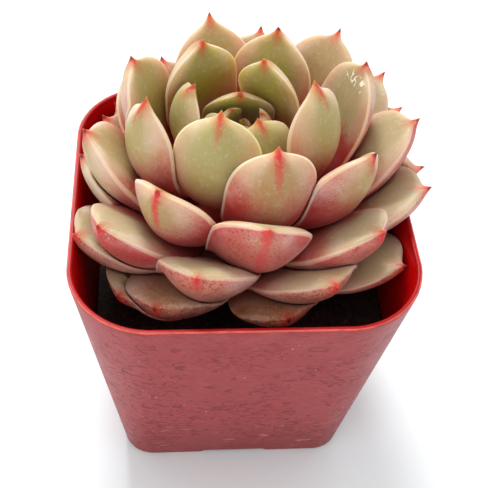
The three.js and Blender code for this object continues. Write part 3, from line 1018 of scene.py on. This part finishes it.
def add_masks(s, age, look):
    """Gives the shader what a leaf's layers share. Masks run from 0 to 1."""
    for name in LEAF_VALUES:
        setattr(s, name, s.attribute(name))
    s.age, s.side = age, abs(s.across)
    s.outside = s.rise(s.outer, 0.35, 0.65)
    s.inside = 1 - s.outside
    s.blotch, s.fine, s.dust = s.grain(4.5, 3), s.grain(0.9, 4, rough=0.65), s.grain(0.34, 2, rough=0.7)
    s.wobble, s.tremble, s.stipple = s.blotch - 0.5, s.fine - 0.5, s.dust - 0.5
    s.fibres = drawn_out(s, 9, 2.5, 3)
    s.centre = s.rise(s.side + 0.4 * s.wobble, 0.98, 0.3)
    s.height = s.along - 0.1 * s.side + 0.22 * s.wobble + 0.2 * s.tremble
    s.blush = s.rise(s.height, look.blush_top + 0.16, look.blush_top - 0.15) * s.outside


def paint_flesh(s, look, colours):
    """Tan flesh with cream edges, the olive or waxy hollow face, painted shade low in the bud's
    hollows, fibres, thin lines and grain.
    """
    s.paint(look.tan + 0.5 * s.wobble, colours.tan)
    s.paint((1 - s.centre) * look.cream, colours.cream)
    olive = s.centre * s.rise(s.along, 1.0, 0.6) * look.olive
    hollow = s.mix(olive, s.colour, colours.olive)
    s.paint(s.inside, s.mix(look.wax, hollow, colours.wax))
    # Painted shade, partly the bud leaves' own darker green, low in their hollows
    s.paint(s.rise(s.along, 0.98, 0.6) * s.inside * look.shade, colours.moss)
    s.paint(s.rise(s.fibres, 0.5, 0.8) * (0.12 + 0.2 * s.inside), colours.olive)
    lines = s.rise(drawn_out(s, 26, 5, 2), 0.55, 0.68) * s.rise(s.fine, 0.35, 0.6)
    s.paint(lines * 0.2, colours.moss)
    s.paint(s.rise(s.fine + 0.5 * s.stipple, 0.5, 0.72) * 0.22, colours.bloom)
    flecks = s.rise(drawn_out(s, 16, 9, 2), 0.58, 0.7) * s.inside * look.wax
    s.paint(flecks * 0.22, colours.moss)


def paint_reds(s, look, colours):
    """Honey as painted shade and glow in the hollow, rose and crimson from the foot up, the crimson
    partly a painted glow of the gaps, freckles and the keel's streak.
    """
    # Painted warm shade and glow low in the hollow
    s.paint(s.rise(s.height, 0.85, 0.5) * s.inside * look.honey_shade, colours.honey_shade)
    flank = s.rise(s.side + 0.3 * s.wobble, 0.55, 1.0) * s.rise(s.along, 1.0, 0.75)
    rosy = s.blush * 0.75 + flank * 0.35 + s.rise(s.height, 0.65, 0.4) * s.inside * 0.5
    s.paint(rosy * look.blush, colours.blush)
    # Crimson at the foot: the leaves' own red, made stronger as a painted glow in the shaded gaps
    deep = s.rise(s.height, look.blush_top, look.blush_top - 0.2) * s.outside * look.crimson
    deep = deep + s.rise(s.height, look.foot, look.foot - 0.2) * s.inside
    s.paint(deep * 0.95 * look.blush, colours.deep)
    dots = s.rise(s.cells(0.62), 0.36, 0.2) * s.rise(s.fine, 0.4, 0.52)
    dots = dots * 0.6 + s.rise(s.dust + 0.35 * s.tremble, 0.5, 0.62) * 0.5
    s.paint(dots * (s.blush * 0.8 + 0.08) * look.freckles, colours.freckle)
    ragged = s.aside + 1.6 * s.tremble + 1.8 * s.stipple
    streak = s.rise(ragged, look.streak_width, look.streak_width * 0.3)
    streak = streak * s.rise(s.below, look.streak, look.streak * 0.35) * s.outside
    s.paint(streak * look.streak_red, colours.tip)


def paint_edges(s, look, colours):
    """The pale edge, partly a painted highlight, rusty old skin with rough spots, the red tip and
    its dry point.
    """
    # Pale edge: partly own colour, partly a painted highlight
    edge = s.rise(s.side, 0.955, 0.985) * s.rise(s.along, 0.3, 0.6) * s.rise(s.below, 0.8, 1.6)
    s.paint(edge * look.edge, colours.margin)
    rust = s.rise(s.height, 1.3, 0.8) * look.rust
    s.paint(rust * 0.75, colours.rust)
    crust = s.rise(s.fine + 0.6 * s.stipple, 0.5, 0.58) * s.rise(s.below, 16, 2)
    s.paint(crust * rust * (0.5 + 0.4 * s.outside), colours.crust)
    near_tip = s.below + 1.3 * s.aside + 0.9 * s.tremble + 0.8 * (s.fibres - 0.5)
    s.paint(s.rise(near_tip, look.tip + 2.4, look.tip * 0.5) * 0.45, colours.tip)
    s.paint(s.rise(near_tip, look.tip, look.tip * 0.35) * 0.85, colours.tip)
    s.paint(s.rise(s.below, 0.8, 0.4) * look.dry, colours.spine)


def paint_specks(s, look, colours):
    """Dark specks in the wax, painted glints by old leaves' tips and the scratch on one leaf."""
    dark = (s.cells(2.2) < 0.055) * s.rise(s.blotch, 0.52, 0.56) * look.wax
    s.paint(dark * 0.8, colours.spine)
    # Painted glints: pale specks by old leaves' tips
    pale = (s.cells(0.7) < 0.16) * s.rise(s.blotch, 0.5, 0.58) * s.rise(s.below, 7, 3) * look.frost
    s.paint(pale * 0.8, colours.margin)
    if look.scratch:
        lines = s.rise(abs(s.grain(1.9, 1, twist=0.6) - 0.5), 0.04, 0.02) * s.inside
        there = s.rise(s.below, 3.8, 3.3) * s.rise(s.below, 1.8, 2.3) * s.rise(s.aside, 2.8, 2.4)
        s.paint(lines * there * look.scratch, colours.scar)


def leaf_skin(age, colours):
    """Flesh, marks and a film of wax, painted in the order in which they lie on each other."""
    by_rule = {key: by_age(table, age) for key, table in LOOK_BY_AGE.items()}
    look = SimpleNamespace(**{**by_rule, **LOOKS.get(age, {})})
    s = Shader(
        f"leaf_{age:02d}_skin",
        colours.green,
        IOR=1.42,
        Subsurface_Weight=0.6,
        Subsurface_Radius=(1.0, look.glow, 0.22),
        Subsurface_Scale=0.004,
        Sheen_Weight=0.08,
        Sheen_Roughness=0.45,
    )
    add_masks(s, age, look)
    for paint_layers in (paint_flesh, paint_reds, paint_edges, paint_specks):
        paint_layers(s, look, colours)
    film = s.rise(s.grain(6, 4), 0.35, 0.75) * s.rise(s.below, 0.8, 2.5)
    thick = 0.08 + 0.3 * (1 - s.centre) * s.rise(s.along, 0.5, 0.75)
    s.paint(film * thick, colours.bloom)
    s.relief((s.fibres, 0.05), (s.blotch, 0.2), (s.fine, 0.05), (s.dust, 0.012))
    return s.finish(0.34 + 0.16 * film + 0.12 * s.fine)


def gather(vertices, faces, mesh):
    """Adds a mesh to the lists that a search tree is made from."""
    shift = len(vertices)
    vertices += [v.co.copy() for v in mesh.vertices]
    faces += [tuple(v + shift for v in p.vertices) for p in mesh.polygons]


def rim_block(pot):
    """What keeps a leaf up: all that lies outside the pot's inner wall, up to the rim."""
    height, wall = pot.height / MM, pot.wall / MM
    sides = Loft("rim_sides", corner_points=8, side_cuts=4)
    pot_ring(sides, pot, height, wall)
    pot_ring(sides, pot, RIM_BLOCK_FOOT, wall)
    sides.bridge()
    sides = sides.done()
    top = Loft("rim_top", corner_points=8, side_cuts=4)
    pot_ring(top, pot, height, wall)
    top.ring(RIM_BLOCK_HALF, RIM_BLOCK_CORNER, height + BRIDGE_APART)
    top.bridge()
    top.lift(-BRIDGE_APART)
    vertices, faces = [], []
    for piece in (sides, top.done()):
        gather(vertices, faces, piece.data)
        bpy.data.objects.remove(piece)
    return BVHTree.FromPolygons(vertices, faces)


def leaf_slot(age):
    if age <= 4:
        return "leaf_bud"
    if age <= 16:
        return "leaf_inner"
    return "leaf_middle" if age <= 30 else "leaf_outer"


class ECHEVERIA_OT_leaves(bpy.types.Operator):
    """Models the leaves from the bud outwards, each pressed by those that lie on it"""

    bl_idname = "echeveria.leaves"
    bl_label = "Leaves"

    def execute(self, context):
        settings = context.scene.echeveria
        rim = rim_block(settings.pot)
        vertices, faces = [], []
        for age in LEAF_AGES:
            younger = BVHTree.FromPolygons(vertices, faces) if faces else None
            leaf = leaf_mesh(f"rosette_leaf_{age:02d}", LeafForm(age), younger, rim)
            gather(vertices, faces, leaf.data)
            apply_modifier(leaf, "round", "SUBSURF", levels=1, render_levels=1)
            leaf.data.materials.append(leaf_skin(age, settings.leaves))
            smooth(leaf, 180)
            hand_over(leaf, "root", leaf_slot(age), f"leaf_{age:02d}")
        return {"FINISHED"}


# Stage


def lay_floor(colour):
    """A matt sheet that is faintly uneven."""
    bpy.ops.mesh.primitive_plane_add(size=8, location=(0, 0, 0))
    floor = bpy.context.object
    floor.name = "floor"
    s = Shader("floor_sheet", colour)
    s.paint(s.grain(60, 2) * 0.2, srgb(238, 238, 240))
    s.relief((s.grain(3, 3), 0.01))
    floor.data.materials.append(s.finish(0.75))


def add_light(name, place, aim, size, power):
    """A round area light, aimed at a height on the pot's axis."""
    light = bpy.data.lights.new(name, "AREA")
    light.shape, light.size, light.energy = "DISK", size, power
    lamp = bpy.data.objects.new(name, light)
    bpy.context.scene.collection.objects.link(lamp)
    lamp.location = place
    lamp.rotation_mode = "QUATERNION"
    lamp.rotation_quaternion = (Vector((0, 0, aim)) - Vector(place)).to_track_quat("-Z", "Y")


def add_camera(scene):
    """Stands where the photograph was taken from."""
    camera = bpy.data.objects.new("camera", bpy.data.cameras.new("camera"))
    scene.collection.objects.link(camera)
    back, right = Vector(CAMERA_BACK).normalized(), Vector(CAMERA_RIGHT).normalized()
    turn = Matrix((right, back.cross(right), back)).transposed().to_4x4()
    camera.matrix_world = Matrix.Translation(CAMERA_PLACE) @ turn
    camera.data.lens, camera.data.sensor_width = CAMERA_LENS, CAMERA_SENSOR
    camera.data.clip_start, camera.data.clip_end = 0.005, 20
    scene.camera = camera


class ECHEVERIA_OT_stage(bpy.types.Operator):
    """Sets the pale floor, the soft light and the camera"""

    bl_idname = "echeveria.stage"
    bl_label = "Stage"

    def execute(self, context):
        settings = context.scene.echeveria.stage
        lay_floor(settings.floor)
        world = bpy.data.worlds.new("soft_sky")
        world.use_nodes = True
        sky = world.node_tree.nodes["Background"]
        sky.inputs["Color"].default_value = (1, 1, 1, 1)
        sky.inputs["Strength"].default_value = settings.sky
        context.scene.world = world
        for name, light in LIGHTS.items():
            add_light(name, *light, power=getattr(settings, name))
        context.scene.view_settings.view_transform = "Standard"
        add_camera(context.scene)
        return {"FINISHED"}


class ECHEVERIA_PT_panel(bpy.types.Panel):
    """Lists the pieces in the 3D view's sidebar"""

    bl_label = "Echeveria"
    bl_idname = "ECHEVERIA_PT_panel"
    bl_space_type = "VIEW_3D"
    bl_region_type = "UI"
    bl_category = "Echeveria"

    def draw(self, context):
        settings = context.scene.echeveria
        for operator, group in PIECES:
            box = self.layout.box()
            box.operator(operator.bl_idname)
            if group:
                part = getattr(settings, group)
                for key in part.bl_rna.properties.keys():
                    if key not in ("rna_type", "name"):
                        box.prop(part, key)


PIECES = [
    (ECHEVERIA_OT_pot, "pot"),
    (ECHEVERIA_OT_soil, "soil"),
    (ECHEVERIA_OT_stem, None),
    (ECHEVERIA_OT_leaves, "leaves"),
    (ECHEVERIA_OT_stage, "stage"),
]
CLASSES = [PotSettings, SoilSettings, LeafSettings, StageSettings, EcheveriaSettings]
CLASSES += [operator for operator, _ in PIECES] + [ECHEVERIA_PT_panel]


def register():
    for item in CLASSES:
        bpy.utils.register_class(item)
    bpy.types.Scene.echeveria = PointerProperty(type=EcheveriaSettings)


def unregister():
    del bpy.types.Scene.echeveria
    for item in reversed(CLASSES):
        bpy.utils.unregister_class(item)


def main():
    register()
    bpy.ops.echeveria.pot()
    bpy.ops.echeveria.soil()
    bpy.ops.echeveria.stem()
    bpy.ops.echeveria.leaves()
    bpy.ops.echeveria.stage()


if __name__ == "__main__":
    main()
